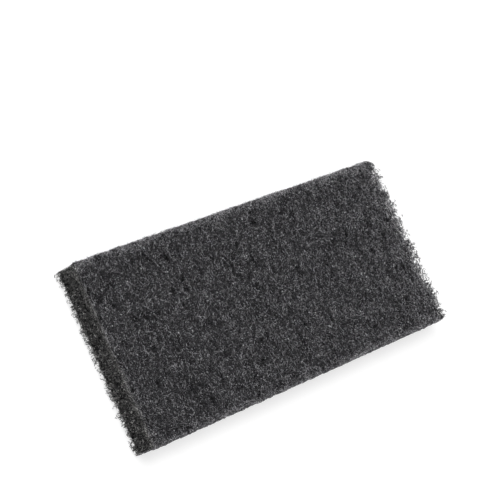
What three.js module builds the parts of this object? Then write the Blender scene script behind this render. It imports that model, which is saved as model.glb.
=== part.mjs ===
// Abrasive hand pad: one slab of matted nylon web, cut to size, lying flat on one of its two working
// faces. Millimetres, +Z up. The origin is at the middle of the face that it lies on, with X along the
// pad and Y across it.

import * as THREE from "three";
import { ImprovedNoise } from "three/addons/math/ImprovedNoise.js";
import { mergeVertices } from "three/addons/utils/BufferGeometryUtils.js";

// Driving dimensions
const PAD_LENGTH = 250;
const PAD_WIDTH = 115;
const PAD_THICKNESS = 20;
const CORNER_RADIUS = 2; // of the outline, seen from above
const EDGE_RADIUS = 1.5; // where a face rolls over into a cut wall
const WAIST_DEPTH = 0.8; // how far a cut wall draws in, halfway up
const FRAY_DEPTH = 1; // deepest hollow in the two cut ends
const HOLLOW_DEPTH = 1; // deepest hollow between the tufts of a face
const TUFT_SPACING = 9; // from one tuft of the web to the next

// Fineness of the mesh: facets over each stretch between an edge and the middle of the pad
const EDGE_FACETS = 2; // round half of a rolled edge
const CORNER_FACETS = 1; // from a rolled edge to where a rounded corner ends
const LENGTH_FACETS = 27; // from there along the pad
const WIDTH_FACETS = 12; // from there across the pad
const WALL_FACETS = 2; // from a rolled edge down the wall

// Look of the web
const CHARCOAL = 0x404042;
const WEB_ROUGHNESS = 0.9;

// Swell of the noise at which a tuft's flat top ends, and at which a hollow is as deep as it gets
const TUFT_SWELL = 0.02;
const HOLLOW_SWELL = 0.5;

// Layers of the noise, so that the two faces and the two ends differ
const TOP_LAYER = 0.5;
const UNDERSIDE_LAYER = 3.5;
const FRAY_LAYER = 6.5;

const { smoothstep } = THREE.MathUtils;
const web = new ImprovedNoise();

// A rolled edge leaves some wall below it, and an outline's corner is rounder than the edge over it.
const MOST_OF_WALL = 0.45; // of the thickness
const LEAST_CORNER = 1.2; // of the edge radius
const edgeRadius = Math.min(EDGE_RADIUS, MOST_OF_WALL * PAD_THICKNESS);
const cornerRadius = Math.max(CORNER_RADIUS, LEAST_CORNER * edgeRadius);

// Distances over the surface from the middle of a rolled edge: to where the roll ends, and to where a
// rounded corner ends.
const halfRoll = (edgeRadius * Math.PI) / 4;
const cornerReach = halfRoll + cornerRadius - edgeRadius;

// Distances over the surface from an edge inwards to the middle of a side, at which the mesh has a line.
// The stops are [distance, facets up to there].
function meshLines(...stops) {
  const lines = [0];
  for (const [stop, facets] of stops) {
    const start = lines.at(-1);
    for (let step = 1; step <= facets; step++) {
      lines.push(start + ((stop - start) * step) / facets);
    }
  }
  return lines;
}

// The distance over the surface from an edge to the middle of a side of this size.
const toMiddle = (size) => halfRoll + size / 2 - edgeRadius;

const planLines = (size, facets) =>
  meshLines([halfRoll, EDGE_FACETS], [cornerReach, CORNER_FACETS], [toMiddle(size), facets]);

const wallLines = () => meshLines([halfRoll, EDGE_FACETS], [toMiddle(PAD_THICKNESS), WALL_FACETS]);

// The place of a mesh line over the surface, as a distance inwards from the wall.
const inwards = (distance) => edgeRadius + distance - halfRoll;

// A point across an edge, from its distance over the surface: positive on the face, negative down the
// wall. Returns how far it lies in from the wall and how far below the face.
function acrossEdge(distance) {
  if (distance >= halfRoll) return { inset: inwards(distance), drop: 0 };
  if (distance <= -halfRoll) return { inset: 0, drop: inwards(-distance) };
  const turn = (Math.PI / 4) * (1 + distance / halfRoll);
  return { inset: edgeRadius * (1 - Math.cos(turn)), drop: edgeRadius * (1 - Math.sin(turn)) };
}

// A point of the outline in the quarter where X and Y are positive, with the direction that its wall
// faces. The distances are over the surface from the end and from the side, and inset is how far in from
// the outline it lies.
function inPlan(fromEnd, fromSide, inset) {
  if (fromEnd >= cornerReach || fromSide >= cornerReach) {
    const x = PAD_LENGTH / 2 - (fromEnd <= fromSide ? inset : inwards(fromEnd));
    const y = PAD_WIDTH / 2 - (fromSide <= fromEnd ? inset : inwards(fromSide));
    return { x, y, facing: fromEnd <= fromSide ? 0 : Math.PI / 2 };
  }
  const toEnd = cornerReach - fromEnd;
  const toSide = cornerReach - fromSide;
  const facing = (Math.PI / 4) * (toEnd >= toSide ? toSide / toEnd : 2 - toEnd / toSide);
  const radius = cornerRadius - inset;
  return {
    x: PAD_LENGTH / 2 - cornerRadius + radius * Math.cos(facing),
    y: PAD_WIDTH / 2 - cornerRadius + radius * Math.sin(facing),
    facing,
  };
}

// How far the web is matted down at a place, from 0 on a tuft's flat top to 1 in the bottom of a hollow.
function hollowAt(x, y, layer) {
  const swell = web.noise(x / TUFT_SPACING, y / TUFT_SPACING, layer);
  return smoothstep(swell, TUFT_SWELL, HOLLOW_SWELL);
}

// A box of mesh lines wrapped round the pad's rolled edges and corners, with its walls drawn in and its
// web matted.
function padGeometry() {
  const lines = {
    x: planLines(PAD_LENGTH, LENGTH_FACETS),
    y: planLines(PAD_WIDTH, WIDTH_FACETS),
    z: wallLines(),
  };
  const facets = (axis) => 2 * (lines[axis].length - 1);
  const box = new THREE.BoxGeometry(1, 1, 1, facets("x"), facets("y"), facets("z"));
  box.deleteAttribute("normal");
  box.deleteAttribute("uv");
  const geometry = mergeVertices(box);
  const position = geometry.getAttribute("position");
  const corner = new THREE.Vector3();
  for (let i = 0; i < position.count; i++) {
    corner.fromBufferAttribute(position, i);
    const fromEdge = (axis) => lines[axis][Math.round((0.5 - Math.abs(corner[axis])) * facets(axis))];
    const place = padPoint(fromEdge("x"), fromEdge("y"), fromEdge("z"), corner);
    position.setXYZ(i, place.x, place.y, place.z);
  }
  geometry.computeVertexNormals();
  return geometry;
}

// One point of the pad, from its distances over the surface to the end, the side and the face. The signs
// of side say which end, which side and which face.
function padPoint(fromEnd, fromSide, fromFace, side) {
  const { inset, drop } = acrossEdge(Math.min(fromEnd, fromSide) - fromFace);
  const plan = inPlan(fromEnd, fromSide, inset);
  const [endSign, sideSign, faceSign] = [side.x, side.y, side.z].map(Math.sign);
  const height = faceSign > 0 ? PAD_THICKNESS - drop : drop;
  let [x, y] = [endSign * plan.x, sideSign * plan.y];

  // The walls draw in between the rolled edges, and the cut ends fray.
  const level = (PAD_THICKNESS / 2 - drop) / (PAD_THICKNESS / 2 - edgeRadius);
  const bow = 1 - Math.min(1, level) ** 2;
  const onEnd = Math.cos(plan.facing) ** 2;
  const fray = FRAY_DEPTH * onEnd * hollowAt(y, height, endSign * FRAY_LAYER);
  x -= bow * (WAIST_DEPTH * (x / (PAD_LENGTH / 2)) + endSign * fray);
  y -= bow * WAIST_DEPTH * (y / (PAD_WIDTH / 2));

  // The faces are matted into tufts and hollows, which end short of the rolled edge.
  const layer = faceSign > 0 ? TOP_LAYER : UNDERSIDE_LAYER;
  const open = smoothstep(inset, edgeRadius, edgeRadius + TUFT_SPACING / 2);
  const z = height - faceSign * HOLLOW_DEPTH * open * hollowAt(x, y, layer);
  return { x, y, z };
}

const webMaterial = new THREE.MeshStandardMaterial({
  color: CHARCOAL,
  roughness: WEB_ROUGHNESS,
  metalness: 0,
});
const pad = new THREE.Mesh(padGeometry(), webMaterial);
pad.name = "hand_pad";

const abrasivePad = new THREE.Group();
abrasivePad.add(pad);

export default abrasivePad;
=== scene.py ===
"""Looks of an abrasive hand pad: a slab of matted nylon web, its crimped fibres, frayed ends and grit.

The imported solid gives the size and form. Lengths in this file are in millimetres, in the solid's own frame,
and become metres where a mesh is made.
"""

import logging
import math
from abc import ABC, abstractmethod
from dataclasses import KW_ONLY, dataclass, field
from enum import Enum

import bpy
import numpy as np
from mathutils import Matrix, Vector


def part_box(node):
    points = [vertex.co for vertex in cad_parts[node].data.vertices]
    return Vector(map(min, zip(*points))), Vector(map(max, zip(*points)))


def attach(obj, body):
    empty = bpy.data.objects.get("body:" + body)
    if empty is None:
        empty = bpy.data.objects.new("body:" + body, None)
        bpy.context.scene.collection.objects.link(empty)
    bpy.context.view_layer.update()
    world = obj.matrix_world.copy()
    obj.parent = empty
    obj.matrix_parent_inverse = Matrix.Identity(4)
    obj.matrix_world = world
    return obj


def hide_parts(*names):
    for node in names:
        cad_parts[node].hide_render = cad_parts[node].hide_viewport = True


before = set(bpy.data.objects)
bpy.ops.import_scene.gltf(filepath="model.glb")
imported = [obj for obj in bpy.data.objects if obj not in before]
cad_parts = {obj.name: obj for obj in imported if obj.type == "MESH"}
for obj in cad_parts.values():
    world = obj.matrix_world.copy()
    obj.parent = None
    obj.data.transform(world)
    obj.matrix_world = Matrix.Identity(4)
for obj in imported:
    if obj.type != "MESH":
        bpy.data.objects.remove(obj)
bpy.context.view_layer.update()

LOG = logging.getLogger("hand_pad")
MM = 0.001  # metres
NODE = "hand_pad"
BODY = "root"
TINY = 1e-9  # keeps what is divided by above nothing
PLASTIC_NUMBER = 1.32471795724474602596  # the real root of p^3 = p + 1
DENSITY_STEPS = 500  # places along a side at which its fibres' density is summed
END_POWER = 5  # how late along a fibre its two ends bend in and thin
CLUMP_STRETCH = 2.0  # how much longer the web's clumps are across the pad than along it
PIT_LIMITS = (0.28, 0.4)  # noise at which an open place of the web has its deepest painted shade, and at which it ends

# A fibre's square cell of the atlas: where its length and its sides run, and its first cap
CELL_LENGTH = (0.15, 0.85)
CELL_SIDES = (0.05, 0.95)
CELL_CAP = ((0.02, 0.1), (0.02, 0.9), (0.1, 0.5))

Colour = tuple[float, float, float]
Span = tuple[float, float]  # two bounds, or a mean and its spread
Array = np.ndarray
Draws = np.random.Generator
Object = bpy.types.Object
Socket = bpy.types.NodeSocket


class Patch(Enum):
    """A side of the pad: the axis that it faces along, and which way."""

    TOP = (2, 1)
    UNDERSIDE = (2, -1)
    FAR_SIDE = (1, 1)
    NEAR_SIDE = (1, -1)
    RIGHT_END = (0, 1)
    LEFT_END = (0, -1)

    @property
    def axis(self) -> int:
        """The axis that the side faces along."""
        return self.value[0]

    @property
    def way(self) -> int:
        """Which way along that axis, as 1 or -1."""
        return self.value[1]

    @property
    def across(self) -> list[int]:
        """The two axes that lie in the side."""
        return [axis for axis in range(3) if axis != self.axis]


@dataclass(frozen=True)
class WebNoise:
    """Smooth random swells from -1 to 1, the same on each run."""

    seed: int  # picks the swells
    cells: int = 24  # random values along each side of the cube that repeats

    def at(self, points: Array, spacing: float) -> Array:
        """The swell at some points: the eight values round a point, blended by 3t^2 - 2t^3 along each axis.

        Args:
            points: places, as rows of three lengths.
            spacing: length from one swell to the next.

        Returns:
            One number for each point.
        """
        values = np.random.default_rng(self.seed).uniform(-1, 1, (self.cells,) * 3)
        scaled = points / spacing
        low = np.floor(scaled).astype(int)
        share = scaled - low
        share = share * share * (3 - 2 * share)
        total = np.zeros(len(points))
        for step in np.ndindex(2, 2, 2):
            cell = (low + step) % self.cells
            weight = np.where(np.array(step) == 1, share, 1 - share).prod(1)
            total += weight * values[tuple(cell.T)]
        return total


@dataclass(frozen=True)
class FaceRelief:
    """Tufts and hollows of the solid's two faces, as depths on the lattice of its own vertices."""

    lines: tuple[Array, Array]  # the lattice's lines along X and along Y
    depths: dict[Patch, Array]  # depth below the face at each crossing, for each face

    @classmethod
    def from_solid(cls, solid: Object, half: Array, margin: float) -> "FaceRelief":
        """Reads the depths from the solid's vertices.

        Args:
            solid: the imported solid, lying on z = 0.
            half: half of its length, width and thickness.
            margin: how far the lattice ends from the walls.

        Returns:
            The relief of both faces.
        """
        places = np.empty(len(solid.data.vertices) * 3)
        solid.data.vertices.foreach_get("co", places)
        places = np.round(places.reshape(-1, 3) / MM, 3)
        places = places[(np.abs(places[:, :2]) < half[:2] - margin).all(1)]
        lines = tuple(np.unique(places[:, axis]) for axis in (0, 1))
        depths = {}
        for face in (Patch.TOP, Patch.UNDERSIDE):
            own = places[(places[:, 2] - half[2]) * face.way > 0]
            crossing = tuple(np.searchsorted(line, own[:, axis]) for axis, line in enumerate(lines))
            depths[face] = np.zeros([len(line) for line in lines])
            depths[face][crossing] = half[2] - face.way * (own[:, 2] - half[2])
        return cls(lines, depths)

    def depth_at(self, face: Patch, x: Array, y: Array) -> Array:
        """Depth below a face, blended in a straight line between the lattice's crossings.

        Args:
            face: the top or the underside.
            x: places along the pad.
            y: places across it.

        Returns:
            A depth for each place.
        """
        depth = self.depths[face]
        low, share = [], []
        for line, place in zip(self.lines, (x, y)):
            index = np.interp(place, line, np.arange(len(line)))
            first = np.minimum(index.astype(int), len(line) - 2)
            low.append(first)
            share.append(index - first)
        (i, j), (s, t) = low, share
        near = depth[i, j] * (1 - s) + depth[i + 1, j] * s
        far = depth[i, j + 1] * (1 - s) + depth[i + 1, j + 1] * s
        return near * (1 - t) + far * t


@dataclass(frozen=True)
class PadShape:
    """Form of the slab: a box with rolled edges, round corners, drawn-in walls and matted faces."""

    half: Array  # half of the length, the width and the thickness
    relief: FaceRelief  # tufts and hollows of the two faces
    corner_radius: float = 2.0  # of the outline, seen from above
    edge_radius: float = 1.5  # where a face rolls over into a wall
    waist_depth: float = 0.8  # how far a wall draws in, halfway up
    worn_radius: float = 7.0  # of the far right corner, where the web is worn
    worn_share: float = 0.2  # how much of what stood out past that corner is left of it

    @classmethod
    def from_frame(cls) -> "PadShape":
        """Takes the size and the faces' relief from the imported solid.

        Returns:
            The pad's form.
        """
        low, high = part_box(NODE)
        half = np.array(high - low) / MM / 2
        return cls(half, FaceRelief.from_solid(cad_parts[NODE], half, cls.corner_radius))

    def wrap(self, box: Array) -> tuple[Array, Array]:
        """Wraps points of the pad's plain box, centred on the origin, onto its real surface.

        Near an edge a point reaches e in from the roll's end on the face and f on the wall. The square of
        side r that holds (e, f) is drawn onto a quarter disc: both are multiplied by
        max(e, f) / hypot(e, f). In a corner of the outline the point keeps its direction from the corner's
        centre, at R minus its inset. A wall then draws in by the waist times 1 - level^2, with the level
        from -1 to 1 between the two rolls, and a face sinks by its relief.

        Args:
            box: points on the box's surface, with their three lengths along the last axis. Those past an
                end or a side stay past it.

        Returns:
            The points on the pad, which lies on z = 0, and the way that the surface faces at each.
        """
        given = box.shape
        box = box.reshape(-1, 3)
        way = np.where(box < 0, -1.0, 1.0)
        gap = self.half - np.abs(box)
        inset = np.minimum(gap[:, 0], gap[:, 1])
        reach = np.clip(self.edge_radius - np.stack([inset, gap[:, 2]], 1), 0, None)
        drawn = reach * (reach.max(1) / np.maximum(np.hypot(*reach.T), TINY))[:, None]
        inset = np.maximum(inset, self.edge_radius) - drawn[:, 0]
        drop = np.maximum(gap[:, 2], self.edge_radius) - drawn[:, 1]

        corner = np.clip(self.corner_radius - gap[:, :2], 0, None)
        in_corner = (corner > 0).all(1)
        turned = corner / np.maximum(np.hypot(*corner.T), TINY)[:, None]
        to_end = gap[:, 0] <= gap[:, 1]
        straight = np.stack([to_end, ~to_end], 1).astype(float)
        outward = np.where(in_corner[:, None], turned, straight)
        from_centre = self.half[:2] - self.corner_radius + (self.corner_radius - inset)[:, None] * turned
        from_wall = np.where(straight > 0, self.half[:2] - inset[:, None], np.abs(box[:, :2]))
        plan = np.where(in_corner[:, None], from_centre, from_wall)

        level = (self.half[2] - drop) / (self.half[2] - self.edge_radius)
        bow = 1 - np.clip(level, -1, 1) ** 2
        plan = (plan - outward * (self.waist_depth * bow)[:, None]) * way[:, :2]
        open_face = np.clip(inset / self.corner_radius - 1, 0, 1)
        hollow = np.where(
            box[:, 2] > 0,
            self.relief.depth_at(Patch.TOP, *plan.T),
            self.relief.depth_at(Patch.UNDERSIDE, *plan.T),
        )
        sunk = drop + hollow * open_face * (gap[:, 2] <= 0)
        height = self.half[2] + way[:, 2] * (self.half[2] - sunk)
        share = drawn / np.maximum(np.hypot(*drawn.T), TINY)[:, None]
        facing = np.column_stack([outward * share[:, :1], share[:, 1]]) * way
        return np.column_stack([plan, height]).reshape(given), facing.reshape(given)

    def worn(self, places: Array) -> Array:
        """Rounds the far right corner: a point past a circle there is drawn back, nearly onto the circle.

        Args:
            places: points on or near the pad, with their three lengths along the last axis.

        Returns:
            The points with the corner worn.
        """
        centre = self.half[:2] - self.worn_radius
        out = (places[..., :2] - centre).clip(0, None)
        past = np.hypot(out[..., 0], out[..., 1]) - self.worn_radius
        kept = (self.worn_radius + self.worn_share * past) / (self.worn_radius + past)
        outside = (out > 0).all(-1) & (past > 0)
        plan = np.where(outside[..., None], centre + out * kept[..., None], places[..., :2])
        return np.concatenate([plan, places[..., 2:]], -1)


def turned_back(places: Array, border: Array | float) -> Array:
    """Turns back what would pass a border on either side of the middle, like a ball off a wall.

    Args:
        places: lengths from the middle, to either side.
        border: length from the middle to the border.

    Returns:
        The lengths, with those past the border as far inside it.
    """
    return np.where(np.abs(places) > border, np.sign(places) * 2 * border - places, places)


def mesh_piece(name: str, places: Array, faces: list[Array], tone: Array | None = None) -> Object:
    """Makes a smooth-shaded piece from whole arrays.

    Args:
        name: the piece's name.
        places: vertices in millimetres, as rows of three.
        faces: arrays of vertex numbers, each with one row for each face.
        tone: how light it is at each vertex, for its finish to read.

    Returns:
        The new object, at the origin, linked to the scene.
    """
    mesh = bpy.data.meshes.new(name)
    corners = np.concatenate([part.ravel() for part in faces])
    counts = np.concatenate([np.full(len(part), part.shape[1]) for part in faces])
    mesh.vertices.add(len(places))
    mesh.vertices.foreach_set("co", (places * MM).astype(np.float32).ravel())
    mesh.loops.add(len(corners))
    mesh.loops.foreach_set("vertex_index", corners.astype(np.int32))
    mesh.polygons.add(len(counts))
    mesh.polygons.foreach_set("loop_start", (np.cumsum(counts) - counts).astype(np.int32))
    mesh.polygons.foreach_set("use_smooth", np.ones(len(counts), bool))
    mesh.update(calc_edges=True)
    if tone is not None:
        mesh.attributes.new("tone", "FLOAT", "POINT").data.foreach_set("value", tone.astype(np.float32))
    piece = bpy.data.objects.new(name, mesh)
    bpy.context.scene.collection.objects.link(piece)
    return piece


@dataclass(frozen=True)
class Nodes:
    """A node tree, with short calls to add and join nodes."""

    tree: bpy.types.NodeTree

    @classmethod
    def of(cls, owner: bpy.types.Material | bpy.types.World) -> "Nodes":
        """Empties the tree of a material or a world.

        Args:
            owner: the material or the world.

        Returns:
            Its tree.
        """
        owner.use_nodes = True
        owner.node_tree.nodes.clear()
        return cls(owner.node_tree)

    def add(
        self, kind: str, *values: object, settings: dict | None = None, **inputs: object
    ) -> bpy.types.Node:
        """Adds a node.

        Args:
            kind: name of the node's type, without its ShaderNode prefix.
            values: values or sockets for its first inputs, in order.
            settings: the node's own properties.
            inputs: values or sockets for its inputs by name, with _ for the spaces in their names.

        Returns:
            The node.
        """
        node = self.tree.nodes.new("ShaderNode" + kind)
        for name, value in (settings or {}).items():
            setattr(node, name, value)
        named = [(name.replace("_", " "), value) for name, value in inputs.items()]
        for key, value in [*enumerate(values), *named]:
            if isinstance(value, Socket):
                self.tree.links.new(value, node.inputs[key])
            else:
                node.inputs[key].default_value = value
        return node

    def calc(self, operation: str, *values: object) -> Socket:
        """The outcome of a sum on some values or sockets."""
        return self.add("Math", *values, settings={"operation": operation}).outputs[0]

    def plus(self, first: Socket, second: Socket, gain: float) -> Socket:
        """A first value plus a second, times a gain."""
        return self.calc("MULTIPLY_ADD", second, gain, first)

    def centred(self, value: Socket) -> Socket:
        """Takes the half from a value that runs from 0 to 1, so that it swings both ways about nothing."""
        return self.calc("SUBTRACT", value, 0.5)

    def clumps(self, place: Socket, size: float, detail: float, roughness: float) -> Socket:
        """A noise from 0 to 1 whose clumps are drawn out across the pad.

        Args:
            place: coordinates that it is read at.
            size: length from one clump to the next, along the pad.
            detail: how many finer noises it has on top.
            roughness: how strong each of them is, as a share of the one before.

        Returns:
            The noise.
        """
        drawn = self.add("Mapping", Vector=place, Scale=(1.0, 1 / CLUMP_STRETCH, 1.0)).outputs["Vector"]
        noise = self.add("TexNoise", Vector=drawn, Scale=1 / (size * MM), Detail=detail, Roughness=roughness)
        return noise.outputs["Fac"]

    def swell(self, place: Socket, size: float) -> Socket:
        """A noise about nothing, which lightens some clumps of the web and darkens others."""
        return self.centred(self.clumps(place, size, detail=1.0, roughness=0.6))

    def shaded_pits(self, place: Socket, size: float) -> Socket:
        """A noise that is nothing over most of the web and sinks to -1 in the few open places, where painted
        shade goes.

        Args:
            place: coordinates that it is read at.
            size: length from one open place to the next, along the pad.

        Returns:
            The noise.
        """
        noise = self.clumps(place, size, detail=2.0, roughness=0.5)
        low, high = PIT_LIMITS
        sunk = self.add("MapRange", Value=noise, From_Min=low, From_Max=high, To_Min=-1.0, To_Max=0.0)
        return sunk.outputs[0]

    def ramp(self, value: Socket, stops: dict[float, Colour]) -> Socket:
        """Turns a value into a colour.

        Args:
            value: the value.
            stops: the colour at each stop from 0 to 1.

        Returns:
            The colour.
        """
        node = self.add("ValToRGB", Fac=value)
        elements = node.color_ramp.elements
        while len(elements) < len(stops):
            elements.new(0.5)
        for element, (stop, colour) in zip(elements, stops.items()):
            element.position = stop
            element.color = (*colour, 1)
        return node.outputs["Color"]

    def finish(self, surface: Socket) -> None:
        """Joins a shader to the material's output."""
        self.add("OutputMaterial", Surface=surface)


@dataclass(frozen=True)
class WebFinish(ABC):
    """A finish of the web: a grey that follows the mesh's tone and differs from clump to clump, with painted
    shade in the web's open places.
    """

    name: str  # the material's name
    stops: dict[float, Colour]  # colour by tone
    roughness: float  # of the surface
    gloss: float  # its specular level
    clump_gain: float  # how much of the tone the web's clumps move
    pit_shade_gain: float  # painted shade: how much darker the open places of the web are
    clump_size: float = 4.0  # length from one clump to the next
    pit_size: float = 5.0  # the same for the open places

    def material(self) -> bpy.types.Material:
        """Makes the material: tone plus clumps, painted shade in the pits and the finish's own texture,
        through a ramp.

        Returns:
            The material, which reads the pad's own coordinates.
        """
        material = bpy.data.materials.new(self.name)
        nodes = Nodes.of(material)
        place = nodes.add("TexCoord").outputs["Object"]
        tone = nodes.add("Attribute", settings={"attribute_name": "tone"}).outputs["Fac"]
        tone = nodes.plus(tone, nodes.swell(place, self.clump_size), self.clump_gain)
        # painted shade: darkens the open places of the web
        tone = nodes.plus(tone, nodes.shaded_pits(place, self.pit_size), self.pit_shade_gain)
        tone, relief = self.texture(nodes, place, tone)
        shader = nodes.add(
            "BsdfPrincipled",
            Base_Color=nodes.ramp(tone, self.stops),
            Roughness=self.roughness,
            Specular_IOR_Level=self.gloss,
            **relief,
        )
        nodes.finish(shader.outputs["BSDF"])
        return material

    @abstractmethod
    def texture(self, nodes: Nodes, place: Socket, tone: Socket) -> tuple[Socket, dict[str, Socket]]:
        """Adds the finish's own texture.

        Args:
            nodes: the material's node tree.
            place: the pad's own coordinates.
            tone: the tone so far.

        Returns:
            The tone with the texture, and the shader's input for its relief, if it has one.
        """


@dataclass(frozen=True)
class FibreFinish(WebFinish):
    """Resin-coated nylon, which also differs from grain to grain along a fibre."""

    roughness: float = 0.3
    gloss: float = 0.08
    clump_gain: float = 0.36
    pit_shade_gain: float = 0.32
    grain_size: float = 0.45  # length from one grain on a fibre to the next
    grain_gain: float = 1.0  # how much of the tone that moves

    def texture(self, nodes: Nodes, place: Socket, tone: Socket) -> tuple[Socket, dict[str, Socket]]:
        """Adds the grains: cells of a random pattern, each with a tone of its own."""
        grains = nodes.add("TexVoronoi", Vector=place, Scale=1 / (self.grain_size * MM)).outputs["Color"]
        return nodes.plus(tone, nodes.centred(grains), self.grain_gain), {}


@dataclass(frozen=True)
class CoreFinish(WebFinish):
    """Dark depth of the web below its loose fibres."""

    roughness: float = 0.8
    gloss: float = 0.0
    clump_gain: float = 0.5
    pit_shade_gain: float = 0.38
    strand: float = 0.5  # width of the strands that show in it
    strand_gain: float = 2.5  # how strongly they show
    bump: float = 0.25  # how far they stand up

    def texture(self, nodes: Nodes, place: Socket, tone: Socket) -> tuple[Socket, dict[str, Socket]]:
        """Adds strands from a warped noise, as a tone of 1/2 + gain * (noise - 1/2) and as bump.

        Args:
            nodes: the material's node tree.
            place: the pad's own coordinates.
            tone: the tone so far.

        Returns:
            The tone with the strands, and the bump.
        """
        scale = 1 / (self.strand * MM)
        noise = nodes.add("TexNoise", Vector=place, Scale=scale, Detail=3.0, Roughness=0.6, Distortion=1.5)
        strands = noise.outputs["Fac"]
        tone = nodes.plus(tone, strands, 1.0)
        tone = nodes.plus(tone, nodes.centred(strands), self.strand_gain - 1)
        bump = nodes.add("Bump", Strength=1.0, Distance=self.bump * MM, Height=strands)
        return tone, {"Normal": bump.outputs["Normal"]}


class Finish(Enum):
    """What a piece is made of."""

    RESIN = FibreFinish(
        "resin_coated_fibre",
        {
            0.0: (0.004, 0.004, 0.0044),
            0.4: (0.0546, 0.054, 0.0587),
            0.75: (0.134, 0.132, 0.1405),
            # the steep rise to near white above 0.75 paints glints on the lightest fibre points
            1.0: (0.78, 0.77, 0.8),
        },
    )
    WARM = FibreFinish(
        "warm_fibre",
        {
            0.0: (0.004, 0.004, 0.004),
            0.4: (0.0526, 0.052, 0.0512),
            0.75: (0.1417, 0.14, 0.138),
            # the steep rise to near white above 0.75 paints glints on the lightest fibre points
            1.0: (0.78, 0.77, 0.758),
        },
        pit_shade_gain=0.1,
    )
    # Abrasive grain, whose near-white top stop paints glints on the few light grains
    GRAIN = FibreFinish(
        "abrasive_grain_painted_glint",
        {0.0: (0.01, 0.01, 0.011), 0.6: (0.2, 0.2, 0.21), 1.0: (0.8, 0.8, 0.82)},
        gloss=0.4,
        grain_gain=0.3,
    )
    CORE = CoreFinish(
        "matted_web",
        {0.2: (0.003, 0.003, 0.0032), 0.72: (0.0526, 0.052, 0.0552), 1.0: (0.1, 0.099, 0.105)},
    )


@dataclass
class WebPiece(ABC):
    """A piece of the pad."""

    name: str  # the piece's name
    finish: Finish = field(default=Finish.RESIN, kw_only=True)  # what it is made of

    @abstractmethod
    def build(self, shape: PadShape) -> Object:
        """Makes the piece's mesh on the pad's form."""

    def add(self, shape: PadShape, materials: dict[Finish, bpy.types.Material]) -> None:
        """Builds the piece and gives it its finish and its body.

        Args:
            shape: the pad's form.
            materials: the material of each finish.
        """
        piece = self.build(shape)
        piece.data.materials.append(materials[self.finish])
        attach(piece, BODY)
        LOG.info("%s: %d triangles", piece.name, len(piece.data.loops) - 2 * len(piece.data.polygons))


@dataclass
class WebCore(WebPiece):
    """The matted inside of the pad, a little below its surface."""

    _: KW_ONLY
    finish: Finish = Finish.CORE
    skin: float = 1.1  # depth of the loose fibres over it
    side_skin: float = 0.6  # the same at the two long sides, which are cut clean
    end_skin: float = 1.6  # the same at the left end
    least_skin: float = 0.2  # the least that any of these is where a lump stands up
    airy_skin: Span = (1.5, 4.6)  # depth at the right end, at its foot and at its top
    airy_width: float = 25.0  # length over which the right end draws in
    airy_waver: float = 0.9  # share by which that differs from place to place
    airy_lean: float = 0.35  # share by which it is more at the far side, and less at the near one
    cell: float = 1.5  # size of its mesh's cells
    lump_height: float = 0.4  # how far it swells and sinks
    wall_lumps: float = 0.6  # how much of that its walls do, as a share
    # Lengths from one lump to the next, each half as high as the one before
    lump_sizes: tuple[float, ...] = (5.0, 2.4)
    # How much lighter it is at the long sides, the right end and the underside, where it stands in for many
    # of the fibres
    bare_tone: float = 0.3
    airy_light_tone: float = 0.15  # painted light: how much lighter it is where the right end draws in, as if light showed through the open web
    noise: WebNoise = WebNoise(3)  # its lumps

    def build(self, shape: PadShape) -> Object:
        """Makes the core: the lattice points of a box's six sides, wrapped onto the pad and sunk by lumps.

        A point sinks by its skin less its lump. Near the right end it also draws back along the pad, by the
        square of how near it is times a depth that grows with the square of its height.

        Args:
            shape: the pad's form.

        Returns:
            The piece, which replaces the solid.
        """
        cells = np.maximum(1, np.round(2 * shape.half / self.cell)).astype(int)
        number = np.indices(cells + 1)
        on_side = ((number == 0) | (number == cells[:, None, None, None])).any(0)
        points = (np.argwhere(on_side) / cells * 2 - 1) * shape.half
        places, facing = shape.wrap(points)
        lumps = sum(
            self.noise.at(places / [1, CLUMP_STRETCH, 1], size) / 2**step
            for step, size in enumerate(self.lump_sizes)
        )
        left = facing[:, 0] < 0
        end, side, face = np.abs(facing).T
        skin = self.skin * face + self.side_skin * side + np.where(left, self.end_skin, 0) * end
        sink = skin - self.lump_height * lumps * np.maximum(face, self.wall_lumps)
        airy = np.clip(1 - (shape.half[0] - places[:, 0]) / self.airy_width, 0, 1)
        height = places[:, 2] / (2 * shape.half[2])
        places = places - facing * sink.clip(self.least_skin)[:, None]
        foot, top = self.airy_skin
        drawn = (foot + (top - foot) * height**2) * (1 + self.airy_lean * places[:, 1] / shape.half[1])
        places[:, 0] -= airy**2 * drawn * (1 + self.airy_waver * lumps)
        ids = np.full(cells + 1, -1)
        ids[on_side] = np.arange(len(points))
        bare = np.where(left, 0, 1 - facing[:, 2].clip(0))
        # the airy share adds painted light at the right end
        tone = self.bare_tone * bare + self.airy_light_tone * airy
        piece = mesh_piece(self.name, shape.worn(places), [self.quads(ids, patch) for patch in Patch], tone)
        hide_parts(NODE)
        return piece

    @staticmethod
    def quads(ids: Array, patch: Patch) -> Array:
        """The faces of one side of the box.

        Args:
            ids: the vertex number at each lattice point.
            patch: the side.

        Returns:
            Rows of four vertex numbers, counted round so that each face points out.
        """
        side = np.take(ids, -1 if patch.way > 0 else 0, axis=patch.axis)
        rings = [side[:-1, :-1], side[1:, :-1], side[1:, 1:], side[:-1, 1:]]
        quads = np.stack(rings, -1).reshape(-1, 4)
        outward = patch.way * (-1 if patch.axis == 1 else 1)
        return quads if outward > 0 else quads[:, ::-1]


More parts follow.
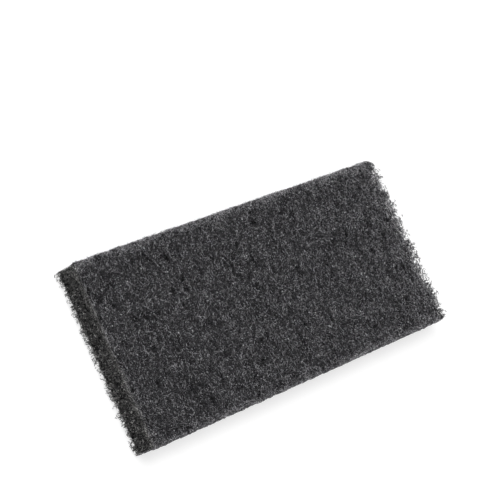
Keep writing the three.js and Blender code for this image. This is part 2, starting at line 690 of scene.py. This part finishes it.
@dataclass
class Strands:
    """A lot of fibres, as whole arrays."""

    paths: Array  # points by fibre, step and axis
    # A direction at each point, not along the path, which sets how the fibre is turned there
    facing: Array
    radius: Array  # one for each fibre
    tone: Array  # how light each fibre is at each point, from 0 to 1
    taper: float  # how much thinner its two ends are, as a share
    sides: int = 3  # of its section

    def piece(self, name: str) -> Object:
        """Makes closed three-sided tubes: a triangle carried along each path, smaller at its two ends.

        A fibre that would pass the face that the pad lies on runs along it instead.

        Args:
            name: the piece's name.

        Returns:
            The piece, with a tone at each vertex and an atlas that has one cell for each fibre.
        """
        count, steps = self.paths.shape[:2]
        paths = self.paths.copy()
        paths[:, :, 2] = np.maximum(paths[:, :, 2], self.radius[:, None])
        along = np.gradient(paths, axis=1)
        along /= np.maximum(np.linalg.norm(along, axis=2, keepdims=True), TINY)
        across = np.cross(along, self.facing)
        across /= np.maximum(np.linalg.norm(across, axis=2, keepdims=True), TINY)
        above = np.cross(across, along)
        turn = 2 * np.pi * np.arange(self.sides) / self.sides + np.pi / 2
        taper = 1 - self.taper * np.abs(np.linspace(-1, 1, steps)) ** END_POWER
        ring = across[:, :, None] * np.cos(turn)[:, None] + above[:, :, None] * np.sin(turn)[:, None]
        places = paths[:, :, None] + ring * (self.radius[:, None] * taper)[:, :, None, None]
        number = np.arange(count * steps * self.sides).reshape(count, steps, self.sides)
        after = np.roll(number, -1, axis=2)
        walls = np.stack([number[:, :-1], after[:, :-1], after[:, 1:], number[:, 1:]], -1)
        caps = [number[:, 0, ::-1], number[:, -1]]
        tone = np.repeat(self.tone.clip(0, 1).ravel(), self.sides)
        piece = mesh_piece(name, places.reshape(-1, 3), [walls.reshape(-1, 4), *caps], tone)
        self.add_atlas(piece)
        return piece

    def add_atlas(self, piece: Object) -> None:
        """Gives each fibre a square cell of the map: length along U, sides along V, caps at the two ends.

        Args:
            piece: the fibres' piece, with its faces in the order of piece().
        """
        count, steps = self.paths.shape[:2]
        u = np.linspace(*CELL_LENGTH, steps)
        v = np.linspace(*CELL_SIDES, self.sides + 1)
        u0, v0 = np.meshgrid(u[:-1], v[:-1], indexing="ij")
        u1, v1 = np.meshgrid(u[1:], v[1:], indexing="ij")
        wall = np.stack([np.stack(corner, -1) for corner in ((u0, v0), (u0, v1), (u1, v1), (u1, v0))], 2)
        first_cap = np.array(CELL_CAP)
        last_cap = [1, 0] + first_cap * [-1, 1]
        grid = math.ceil(math.sqrt(count))
        cell = np.stack(np.divmod(np.arange(count), grid), 1)[:, None]
        parts = (wall, first_cap, last_cap)
        corners = [((cell + part.reshape(1, -1, 2)) / grid).reshape(-1, 2) for part in parts]
        layer = piece.data.uv_layers.new(name="OFBake")
        layer.data.foreach_set("uv", np.concatenate(corners).astype(np.float32).ravel())


@dataclass(frozen=True)
class Crimp:
    """How a kind of fibre runs."""

    length: Span = (3.5, 8.0)  # shortest and longest
    radius: Span = (0.15, 0.26)  # thinnest and thickest
    turn: float = 2.4  # how far a fibre curls, in radians either way, as a normal spread
    weave: float = 0.5  # how far it weaves, in radians
    ripple: float = 0.3  # how far it rises and dips along its length
    dip: float = 0.4  # how far its two ends bend in
    steps: int = 5  # points along it
    taper: float = 0.55  # how much thinner its two ends are, as a share
    bead: float = 0.3  # how much lighter the grain on it makes some of its points
    waves: Span = (0.6, 1.8)  # fewest and most waves along it

    def lay(self, rng: Draws, heading: Array) -> tuple[Array, Array]:
        """Runs fibres over a plane, each about its own middle.

        With s from 0 to 1 along a fibre, its heading is the mean one + turn * (s - 1/2)
        + weave * sin(2 pi (waves * s + phase)). Its rise is ripple * sin(2 pi (waves * s + phase)), with
        waves and a phase of its own, less dip * |2s - 1|^5.

        Args:
            rng: source of the random draws.
            heading: mean heading of each fibre.

        Returns:
            Points by fibre, step and axis in the plane, and the rise at each.
        """
        count = len(heading)
        s = np.linspace(0, 1, self.steps)
        turn = rng.normal(0, self.turn, (count, 1))
        waves = rng.uniform(*self.waves, (2, count, 1))
        phase = rng.uniform(0, 1, (2, count, 1))
        wave, bob = np.sin(2 * np.pi * (waves * s + phase))
        angle = heading[:, None] + turn * (s - 0.5) + self.weave * wave
        step = rng.uniform(*self.length, (count, 1, 1)) / (self.steps - 1)
        flat = np.cumsum(np.stack([np.cos(angle), np.sin(angle)], -1) * step, axis=1)
        rise = self.ripple * bob - self.dip * np.abs(2 * s - 1) ** END_POWER
        return flat - flat.mean(1, keepdims=True), rise

    def tones(self, rng: Draws, count: int, middle: float, spread: float) -> Array:
        """Draws how light fibres are: most a little darker than the mean, with a long tail of lighter ones.

        The tail is an exponential spread, drawn once for each fibre and once more for each point along it.

        Args:
            rng: source of the random draws.
            count: how many fibres.
            middle: mean tone.
            spread: how far the tail of whole fibres reaches.

        Returns:
            A tone for each fibre and point.
        """
        whole = spread * (rng.exponential(1, (count, 1)) - 1)
        return middle + whole + self.bead * (rng.exponential(1, (count, self.steps)) - 1)


class Kind(Enum):
    """A kind of fibre."""

    MATTED = Crimp(steps=4, bead=0.12)
    LOOSE = Crimp(length=(3.0, 7.0), radius=(0.1, 0.18), turn=1.8, steps=4, bead=0.2)
    THREAD = Crimp(length=(3.5, 8.0), radius=(0.07, 0.11), turn=2.2, ripple=0.2, bead=0.25)
    SPECK = Crimp(length=(0.4, 0.9), radius=(0.1, 0.17), turn=0.0, ripple=0.15, dip=0.0, steps=2, taper=0.0)
    FLAT = Crimp(turn=1.2, ripple=0.15, steps=4, bead=0.1)
    BIT = Crimp(length=(0.8, 2.2), radius=(0.11, 0.18), turn=1.2, ripple=0.1, dip=0.3, steps=3, bead=0.15)
    CRUMB = Crimp(length=(1.0, 2.8), radius=(0.2, 0.4), turn=1.5, ripple=0.25, steps=3, taper=0.3)
    LOOP = Crimp((2.5, 6.0), (0.13, 0.24), turn=3.2, weave=0.8, ripple=0.4, dip=0.0, taper=0.2)
    LACE = Crimp((2.0, 4.5), (0.13, 0.22), turn=3.6, weave=0.8, ripple=0.3, dip=0.0, steps=4, taper=0.2)
    FUZZ = Crimp(length=(1.2, 3.2), radius=(0.08, 0.13), turn=1.2, ripple=0.1, steps=3, bead=0.12)
    WHISKER = Crimp((1.2, 3.0), (0.06, 0.09), turn=1.5, ripple=0.9, dip=0.0, steps=4, bead=0.1)
    STUB = Crimp(length=(0.9, 2.6), radius=(0.16, 0.32), turn=1.8, steps=3, bead=0.1)
    HAIR = Crimp(length=(5.0, 11.0), radius=(0.09, 0.13), turn=2.6, ripple=0.1, steps=7)


@dataclass
class Fibres(WebPiece):
    """A lot of fibres of one kind at one side of the pad."""

    side: Patch  # where they are
    kind: Kind  # how they run
    count: int  # how many there are
    seed: int  # picks their places
    tone: Span = field(default=(0.42, 0.2), kw_only=True)  # mean tone and its spread

    @property
    def crimp(self) -> Crimp:
        """How the fibres run."""
        return self.kind.value

    def tones(self, rng: Draws) -> Array:
        """Draws a tone for each fibre and point."""
        return self.crimp.tones(rng, self.count, *self.tone)

    def strands(self, shape: PadShape, paths: Array, facing: Array, radius: Array, tone: Array) -> Object:
        """Makes the fibres' piece, with the pad's corner worn.

        Args:
            shape: the pad's form.
            paths: points by fibre, step and axis.
            facing: a direction at each point, not along the path.
            radius: one for each fibre.
            tone: one for each fibre and point.

        Returns:
            The piece.
        """
        return Strands(shape.worn(paths), facing, radius, tone, self.crimp.taper).piece(self.name)


@dataclass
class FibreLayer(Fibres):
    """Crimped fibres that lie on a side of the pad."""

    lift: Span  # lowest and highest middle, from the pad's surface
    _: KW_ONLY
    foot: float = 0.0  # height up to which a fibre stands out less, down to not at all at the floor
    # How far a heading strays from the side's first axis, in radians, with pi for any heading
    spread: float = math.pi
    comb: float = 1.0  # how much more they run along the side's second axis than along its first
    backlit_edge_tone: float = 0.14  # painted backlight: how much lighter they are at the side's border
    edge_width: float = 3.0  # how far in from the border that reaches
    thin_end: float = 1.0  # how dense they lie at the pad's airy right end, as a share
    thin_width: float = 9.0  # how far in from that end they thin out
    end_light_tone: float = 0.0  # painted light: how much lighter they are at that end, as if light showed through the open web
    end_width: float = 15.0  # how far in from it that reaches

    def middles(self, rng: Draws, limit: Array) -> Array:
        """Spreads the fibres over the side, so that none crowd.

        Fibre n lies at the fractions of n / p and n / p^2 along the two axes, where p is the plastic number,
        moved by chance by up to half of the mean distance. The first fraction is then a share of the fibres
        that lie to the left, which turns into a place by the sum of the density up to there.

        Args:
            rng: source of the random draws.
            limit: half of the side's two lengths.

        Returns:
            A place in the side for each fibre.
        """
        step = np.array([1 / PLASTIC_NUMBER, 1 / PLASTIC_NUMBER**2])
        share = rng.uniform(0, 1, 2) + np.arange(self.count)[:, None] * step
        jitter = math.sqrt(4 * limit.prod() / self.count) / (2 * limit)
        share = (share + rng.uniform(-0.5, 0.5, (self.count, 2)) * jitter) % 1
        place = (2 * share - 1) * limit
        if self.side.axis:
            line = np.linspace(-limit[0], limit[0], DENSITY_STEPS)
            inwards = np.clip((limit[0] - line) / self.thin_width, 0, 1)
            total = np.cumsum(self.thin_end + (1 - self.thin_end) * inwards)
            place[:, 0] = np.interp(share[:, 0], total / total[-1], line)
        return place

    def build(self, shape: PadShape) -> Object:
        """Lays the fibres over the side of the box, turned back at its border, and wraps them onto the pad.

        Args:
            shape: the pad's form.

        Returns:
            The piece.
        """
        rng = np.random.default_rng(self.seed)
        limit = shape.half[self.side.across]
        middle = self.middles(rng, limit)
        heading = rng.uniform(-self.spread, self.spread, self.count)
        flat, rise = self.crimp.lay(rng, np.arctan2(self.comb * np.sin(heading), np.cos(heading)))
        radius = rng.uniform(*self.crimp.radius, self.count)
        flat = turned_back(flat + middle[:, None], limit - radius[:, None, None])
        box = np.empty((*rise.shape, 3))
        box[:, :, self.side.across] = flat
        box[:, :, self.side.axis] = self.side.way * shape.half[self.side.axis]
        places, facing = shape.wrap(box)
        lift = rng.uniform(*self.lift, (self.count, 1)) + rise
        if self.foot:
            lift = lift * np.clip(places[:, :, 2] / self.foot, 0, 1)
        inwards = np.min(limit - np.abs(flat).mean(1), axis=1).clip(0)
        # painted backlight: lighter near the side's border
        edge = self.backlit_edge_tone * np.exp(-inwards / self.edge_width)
        # painted light: lighter towards the airy right end
        edge += self.end_light_tone * np.exp((places[:, :, 0].mean(1) - shape.half[0]) / self.end_width)
        tone = self.tones(rng) + edge[:, None]
        return self.strands(shape, places + facing * lift[:, :, None], facing, radius, tone)


@dataclass
class FaceLayer(FibreLayer):
    """Crimped fibres of a face, which run across the pad more than along it, thin out at its right end and
    are painted lighter there.
    """

    comb: float = field(default=3.0, kw_only=True)
    thin_end: float = field(default=0.3, kw_only=True)
    end_light_tone: float = field(default=0.17, kw_only=True)


@dataclass
class Rim(Fibres):
    """Fibres pressed together along a cut edge of the top face, over the wall that is their side."""

    width: float  # how far in from the edge they lie
    _: KW_ONLY
    drop: float = 2.0  # how far down the wall they lie
    spread: float = 0.4  # normal spread of their heading from the edge's, in radians
    lift: Span = (-0.2, 0.15)  # lowest and highest middle, from the pad's surface
    waver: float = 0.0  # how far the rim swells and sinks along the edge
    waver_size: float = 7.0  # length from one swell to the next
    noise: WebNoise = WebNoise(9)  # those swells

    def build(self, shape: PadShape) -> Object:
        """Lays the fibres along the edge, each at a distance over the surface from it.

        Args:
            shape: the pad's form.

        Returns:
            The piece.
        """
        rng = np.random.default_rng(self.seed)
        half = shape.half
        edge = 1 - self.side.axis
        flat, rise = self.crimp.lay(rng, rng.normal(0, self.spread, self.count))
        along = flat[:, :, 0] + rng.uniform(-half[edge], half[edge], (self.count, 1))
        along = turned_back(along, half[edge])
        inwards = flat[:, :, 1] + rng.triangular(-self.drop, 0, self.width, (self.count, 1))
        box = np.empty((*rise.shape, 3))
        box[:, :, edge] = along
        box[:, :, self.side.axis] = self.side.way * (half[self.side.axis] - inwards.clip(0))
        box[:, :, 2] = half[2] + inwards.clip(None, 0)
        places, facing = shape.wrap(box)
        level = np.column_stack([along.ravel(), np.zeros((along.size, 2))])
        swell = self.waver * self.noise.at(level, self.waver_size).reshape(along.shape)
        lift = rng.uniform(*self.lift, (self.count, 1)) + rise + swell
        radius = rng.uniform(*self.crimp.radius, self.count)
        return self.strands(shape, places + facing * lift[:, :, None], facing, radius, self.tones(rng))


@dataclass
class Fray(Fibres):
    """Loose loops and loose ends of fibre that stand out of a cut end of the pad."""

    reach: Span  # how far their tips stand out past the wall, as a mean and a normal spread
    heights: Span  # lowest and highest middle, as shares of the thickness
    _: KW_ONLY
    spread: float = 1.0  # normal spread of their heading from the pad's length, in radians
    tilt: float = 0.5  # normal spread of the tilt of the plane that each lies in, in radians
    longest: float = 2.2  # how many spreads of the reach the longest tip stands out past the mean
    top_gap: float = 0.2  # how far below the top they stay
    foot_light_tone: float = 0.0  # painted light: how much lighter they are at the foot of the end, where the white floor lights them
    foot_height: float = 5.0  # how far up that reaches
    waver: float = 0.7  # how far the tips' mean reach swells and sinks along the end
    waver_size: float = 5.0  # length from one swell to the next
    swells: WebNoise = WebNoise(7)  # those swells
    gaps: float = 0.0  # share of the fibres that lie in gaps, and so are drawn in out of sight
    gap_size: float = 2.2  # length from one gap to the next
    gap_depth: float = 5.0  # how far they are drawn in
    gap_lean: float = 0.0  # how much more open the far half is than the near one
    holes: WebNoise = WebNoise(8)  # the noise that places the gaps

    def build(self, shape: PadShape) -> Object:
        """Makes the fray: fibres in planes that are tilted by chance about the pad's length.

        Each is moved along the pad until its outermost point passes the wall by what is drawn for its tip.

        Args:
            shape: the pad's form.

        Returns:
            The piece.
        """
        rng = np.random.default_rng(self.seed)
        count, half = self.count, shape.half
        flat, rise = self.crimp.lay(rng, rng.normal(0, self.spread, count))
        tilt = rng.normal(0, self.tilt, (count, 1))
        radius = rng.uniform(*self.crimp.radius, count)
        tip = rng.normal(*self.reach, (count, 1)).clip(None, self.reach[0] + self.longest * self.reach[1])
        middle = rng.uniform(-1, 1, (count, 1)) * half[1]
        side = turned_back(flat[:, :, 1] * np.cos(tilt) + middle, half[1] - radius[:, None])
        thickness = 2 * half[2]
        level = thickness * rng.uniform(*self.heights, (count, 1))
        height = level + flat[:, :, 1] * np.sin(tilt) + rise
        height = height.clip(radius[:, None], thickness - self.top_gap)
        swell = self.swells.at(np.column_stack([middle, level, np.zeros(count)]), self.waver_size)
        gap = self.holes.at(np.column_stack([tip, middle, level]), self.gap_size)
        gap -= self.gap_lean * middle[:, 0] / half[1]
        tip = tip - self.gap_depth * (gap < np.quantile(gap, self.gaps))[:, None]
        out = flat[:, :, 0] - flat[:, :, 0].max(1, keepdims=True) + tip + self.waver * swell[:, None]
        past_corner = np.clip(np.abs(side) - (half[1] - shape.corner_radius), 0, shape.corner_radius)
        corner = shape.corner_radius - np.sqrt(shape.corner_radius**2 - past_corner**2)
        bow = 1 - (height / half[2] - 1) ** 2
        wall = half[0] - corner - shape.waist_depth * bow
        paths = np.stack([self.side.way * (wall + out), side, height], -1)
        facing = np.broadcast_to([0.0, 0.0, 1.0], paths.shape)
        # painted floor light near the foot of the end
        tone = self.tones(rng) + self.foot_light_tone * np.exp(-level / self.foot_height)
        return self.strands(shape, paths, facing, radius, tone)


@dataclass
class Grit(WebPiece):
    """Abrasive grains stuck to the web of the top face, some of them hanging in the airy right end; the light
    ones are painted glints.
    """

    count: int  # how many there are
    seed: int  # picks their places
    _: KW_ONLY
    finish: Finish = Finish.GRAIN
    radius: Span = (0.16, 0.28)  # smallest and largest of the dark ones
    stretch: Span = (0.7, 1.2)  # least and most that one is stretched along each of its axes
    swell: float = 1.1  # how much larger the brightest, painted-glint ones are, as a share
    glint_power: int = 3  # how few of them carry a painted glint, as the power that an even draw is raised to
    dark_tone: float = 0.25  # tone of the darkest
    lift: Span = (-0.3, 0.2)  # lowest and highest, from the pad's surface
    fringe: float = 0.3  # share of them that hangs in the right end
    fringe_width: float = 7.0  # width of the band there that they hang in
    # Innermost, likeliest and outermost place, from the pad's end, as shares of that width
    hang: tuple[float, float, float] = (-0.6, 0.0, 0.4)
    hang_depth: float = 2.0  # mean depth there below the top
    hang_gaps: Span = (0.3, 0.5)  # how far they stay below the top and above the floor there

    def build(self, shape: PadShape) -> Object:
        """Makes the grains: octahedra, each stretched along its axes by chance and turned about the vertical.

        Args:
            shape: the pad's form.

        Returns:
            The piece.
        """
        rng = np.random.default_rng(self.seed)
        count, half = self.count, shape.half
        box = rng.uniform(-half, half, (count, 3))
        box[:, 2] = half[2]
        places, facing = shape.wrap(box)
        # how strongly each grain carries a painted glint
        glint = rng.uniform(0, 1, (count, 1)) ** self.glint_power
        height = np.maximum(rng.uniform(0, 1, (count, 1)), glint)
        places = places + facing * (self.lift[0] + (self.lift[1] - self.lift[0]) * height)
        hanging = np.arange(count) < self.fringe * count
        out = rng.triangular(*self.hang, count) * self.fringe_width
        drop = rng.exponential(self.hang_depth, count)
        drop = drop.clip(self.hang_gaps[0], 2 * half[2] - self.hang_gaps[1])
        fringe = np.column_stack([half[0] + out, places[:, 1], 2 * half[2] - drop])
        places = shape.worn(np.where(hanging[:, None], fringe, places))
        turn = rng.uniform(0, np.pi, count)
        size = rng.uniform(*self.radius, (count, 1)) * rng.uniform(*self.stretch, (count, 3))
        size *= 1 + self.swell * glint
        zero = np.zeros(count)
        first = np.stack([np.cos(turn), np.sin(turn), zero], 1) * size[:, :1]
        second = np.stack([-np.sin(turn), np.cos(turn), zero], 1) * size[:, 1:2]
        third = np.stack([zero, zero, size[:, 2]], 1)
        tips = np.stack([first, second, -first, -second, third, -third], 1)
        belt = np.arange(4)
        upper = np.stack([belt, np.roll(belt, -1), np.full(4, 4)], 1)
        lower = np.stack([np.roll(belt, -1), belt, np.full(4, 5)], 1)
        faces = np.concatenate([upper, lower]) + 6 * np.arange(count)[:, None, None]
        # the light tone of the glinting grains is a painted glint
        tone = np.repeat(self.dark_tone + (1 - self.dark_tone) * glint.ravel(), 6)
        corners = places[:, None] + tips
        return mesh_piece(self.name, corners.reshape(-1, 3), [faces.reshape(-1, 3)], tone)


def pad_pieces() -> list[WebPiece]:
    """Lists the pad's pieces.

    Returns:
        Its core, the fibres on its sides, its rims, its frayed ends and its grains.
    """
    top, under, far, near, right, left = Patch
    warm = Finish.WARM
    return [
        WebCore("web_core"),
        FaceLayer("top_low_fibres", top, Kind.MATTED, 4000, seed=11, lift=(-1.2, -0.6), tone=(0.5, 0.04)),
        FaceLayer("top_fibres", top, Kind.LOOSE, 5000, seed=12, lift=(-0.6, -0.1), tone=(0.495, 0.05)),
        FaceLayer("top_bits", top, Kind.BIT, 7000, seed=13, lift=(-0.5, 0.05), tone=(0.555, 0.04)),
        FaceLayer("top_threads", top, Kind.THREAD, 6900, seed=20, lift=(-0.2, 0.12), tone=(0.55, 0.08)),
        FaceLayer("top_specks", top, Kind.SPECK, 12000, seed=24, lift=(-0.3, 0.15), tone=(0.54, 0.26)),
        FibreLayer("top_hairs", top, Kind.HAIR, 450, seed=19, lift=(0.0, 0.2), tone=(0.72, 0.12)),
        FaceLayer("underside_fibres", under, Kind.MATTED, 2300, seed=14, lift=(-0.9, -0.3), tone=(0.52, 0.1)),
        FibreLayer(
            "far_side_fibres", far, Kind.FLAT, 1300, seed=15,
            lift=(-0.5, 0.0), spread=0.9, tone=(0.5, 0.08),
        ),
        FibreLayer(
            "near_side_fibres", near, Kind.FLAT, 1300, seed=16,
            lift=(0.6, 0.9), foot=12.0, spread=0.9, tone=(0.5, 0.08),
        ),
        FibreLayer(
            "left_end_fibres", left, Kind.MATTED, 500, seed=17,
            lift=(-1.6, -0.2), spread=1.0, tone=(0.5, 0.06), finish=warm,
        ),
        FibreLayer(
            "right_end_fibres", right, Kind.STUB, 900, seed=18,
            lift=(-2.2, -0.2), spread=1.0, tone=(0.5, 0.08),
        ),
        Rim("far_rim", far, Kind.FUZZ, 2500, seed=41, width=6.0, spread=0.8, waver=0.5, tone=(0.82, 0.08)),
        Rim("far_whiskers", far, Kind.WHISKER, 300, seed=44, width=1.5, spread=1.2, tone=(0.55, 0.1)),
        Rim(
            "near_rim", near, Kind.FUZZ, 2000, seed=42,
            width=4.0, lift=(0.1, 0.5), waver=0.15, tone=(0.65, 0.08),
        ),
        Rim(
            "left_rim", left, Kind.FUZZ, 2200, seed=43,
            width=2.4, drop=6.5, spread=0.7, tone=(0.59, 0.08), finish=warm,
        ),
        Fray(
            "left_fray", left, Kind.STUB, 2400, seed=21,
            reach=(0.9, 0.6), heights=(0.02, 0.75), gaps=0.25, tone=(0.49, 0.08), foot_light_tone=0.2, finish=warm,
        ),
        Fray(
            "left_specks", left, Kind.SPECK, 900, seed=27,
            reach=(0.3, 0.6), heights=(0.03, 0.9), tone=(0.7, 0.3), finish=warm,
        ),
        Fray(
            "left_lace", left, Kind.LACE, 300, seed=28,
            reach=(1.0, 0.9), heights=(0.0, 0.3), gaps=0.5, tone=(0.4, 0.08), finish=warm,
        ),
        Fray(
            "right_fray", right, Kind.STUB, 1100, seed=22,
            reach=(0.0, 0.8), heights=(0.0, 0.85), tone=(0.49, 0.08),
        ),
        Fray(
            "right_fringe", right, Kind.CRUMB, 1500, seed=23,
            reach=(0.3, 2.2), heights=(0.65, 1.0), gaps=0.5, gap_size=2.8, gap_lean=0.3,
        ),
        Fray(
            "right_lace", right, Kind.LOOP, 650, seed=25,
            reach=(1.2, 1.7), heights=(0.8, 1.0), gaps=0.35, gap_size=2.8, gap_lean=0.3,
        ),
        Grit("grit", 4000, seed=31),
    ]


@dataclass(frozen=True)
class Studio:
    """White floor, soft light from above and behind, and the camera."""

    aim: tuple[float, float, float] = (-1.7, 28.8, 20.0)  # point that the middle of the picture shows
    distance: float = 1048.7  # from there to the camera
    heading: float = 7.38  # way that the camera looks, in degrees from +X towards +Y
    elevation: float = 50.04  # how far it looks down, in degrees
    roll: float = 60.04  # how far it is turned about its own axis, in degrees
    lens: float = 123.5  # focal length in millimetres on the sensor
    sensor: float = 36.0  # width of the sensor
    near_clip: float = 0.01  # how near the camera sees, in metres
    world_level: float = 0.38  # light from all round
    # Middle of the lamp, which faces the origin
    lamp_place: tuple[float, float, float] = (-250.0, 350.0, 1300.0)
    lamp_size: float = 700.0  # its side
    lamp_power: float = 14.7  # in watts
    floor_size: float = 12000.0  # side of the floor
    floor_drop: float = 0.02  # how far it lies below the pad
    floor_white: float = 0.8  # share of the light that it throws back onto the pad
    floor_glow: float = 0.7  # light that it shows the camera by itself
    floor_grey: float = 0.36  # what it adds where it is lit, and so loses in the pad's shadow

    def build(self) -> None:
        """Makes the camera, the floor and the light."""
        self.make_camera()
        self.make_floor()
        self.make_world()
        self.make_lamp()

    def make_camera(self) -> None:
        """Makes the camera from its heading, elevation and roll about the aim."""
        heading, elevation, roll = (math.radians(a) for a in (self.heading, self.elevation, self.roll))
        level = math.cos(elevation)
        forward = Vector((level * math.cos(heading), level * math.sin(heading), -math.sin(elevation)))
        right = forward.cross(Vector((0, 0, 1))).normalized()
        up = right.cross(forward)
        rolled = right * math.cos(roll) + up * math.sin(roll)
        axes = Matrix((rolled, (-forward).cross(rolled), -forward)).transposed()
        camera = bpy.data.objects.new("camera", bpy.data.cameras.new("camera"))
        camera.data.lens = self.lens
        camera.data.sensor_width = self.sensor
        camera.data.clip_start = self.near_clip
        place = (Vector(self.aim) - forward * self.distance) * MM
        camera.matrix_world = Matrix.Translation(place) @ axes.to_4x4()
        bpy.context.scene.collection.objects.link(camera)
        bpy.context.scene.camera = camera

    def make_floor(self) -> None:
        """Makes a white floor: a glow for the camera and reflections only, plus a grey that takes shadows."""
        corners = np.array([[-1, -1, 0], [1, -1, 0], [1, 1, 0], [-1, 1, 0]]) * (self.floor_size / 2)
        floor = mesh_piece("floor", corners - [0, 0, self.floor_drop], [np.arange(4)[None]])
        material = bpy.data.materials.new("white_floor")
        nodes = Nodes.of(material)
        rays = nodes.add("LightPath").outputs
        seen = rays["Is Camera Ray"]
        for name in ("Is Glossy Ray", "Is Transmission Ray"):
            seen = nodes.calc("MAXIMUM", seen, rays[name])
        lit = nodes.add("BsdfDiffuse", Color=(self.floor_grey,) * 3 + (1,)).outputs["BSDF"]
        glow = nodes.add("Emission", Strength=self.floor_glow).outputs["Emission"]
        both = nodes.add("AddShader", lit, glow).outputs[0]
        plain = nodes.add("BsdfDiffuse", Color=(self.floor_white,) * 3 + (1,)).outputs["BSDF"]
        nodes.finish(nodes.add("MixShader", seen, plain, both).outputs[0])
        floor.data.materials.append(material)

    def make_world(self) -> None:
        """Makes light from all round, which the camera sees as white."""
        world = bpy.data.worlds.new("studio")
        bpy.context.scene.world = world
        nodes = Nodes.of(world)
        seen = nodes.add("LightPath").outputs["Is Camera Ray"]
        dim = nodes.add("Background", Color=(1, 1, 1, 1), Strength=self.world_level).outputs[0]
        white = nodes.add("Background", Color=(1, 1, 1, 1), Strength=1.0).outputs[0]
        nodes.add("OutputWorld", Surface=nodes.add("MixShader", seen, dim, white).outputs[0])

    def make_lamp(self) -> None:
        """Makes a square soft lamp that faces the pad."""
        lamp = bpy.data.lights.new("key_light", "AREA")
        lamp.size = self.lamp_size * MM
        lamp.energy = self.lamp_power
        holder = bpy.data.objects.new("key_light", lamp)
        place = Vector(self.lamp_place)
        holder.location = place * MM
        holder.rotation_mode = "QUATERNION"
        holder.rotation_quaternion = (-place).to_track_quat("-Z", "Y")
        bpy.context.scene.collection.objects.link(holder)


def main() -> None:
    """Builds the pad and the studio, and reports each piece."""
    logging.basicConfig(level=logging.INFO, format="%(message)s")
    bpy.context.scene.view_settings.view_transform = "Standard"
    shape = PadShape.from_frame()
    materials = {finish: finish.value.material() for finish in Finish}
    for piece in pad_pieces():
        piece.add(shape, materials)
    Studio().build()


if __name__ == "__main__":
    main()
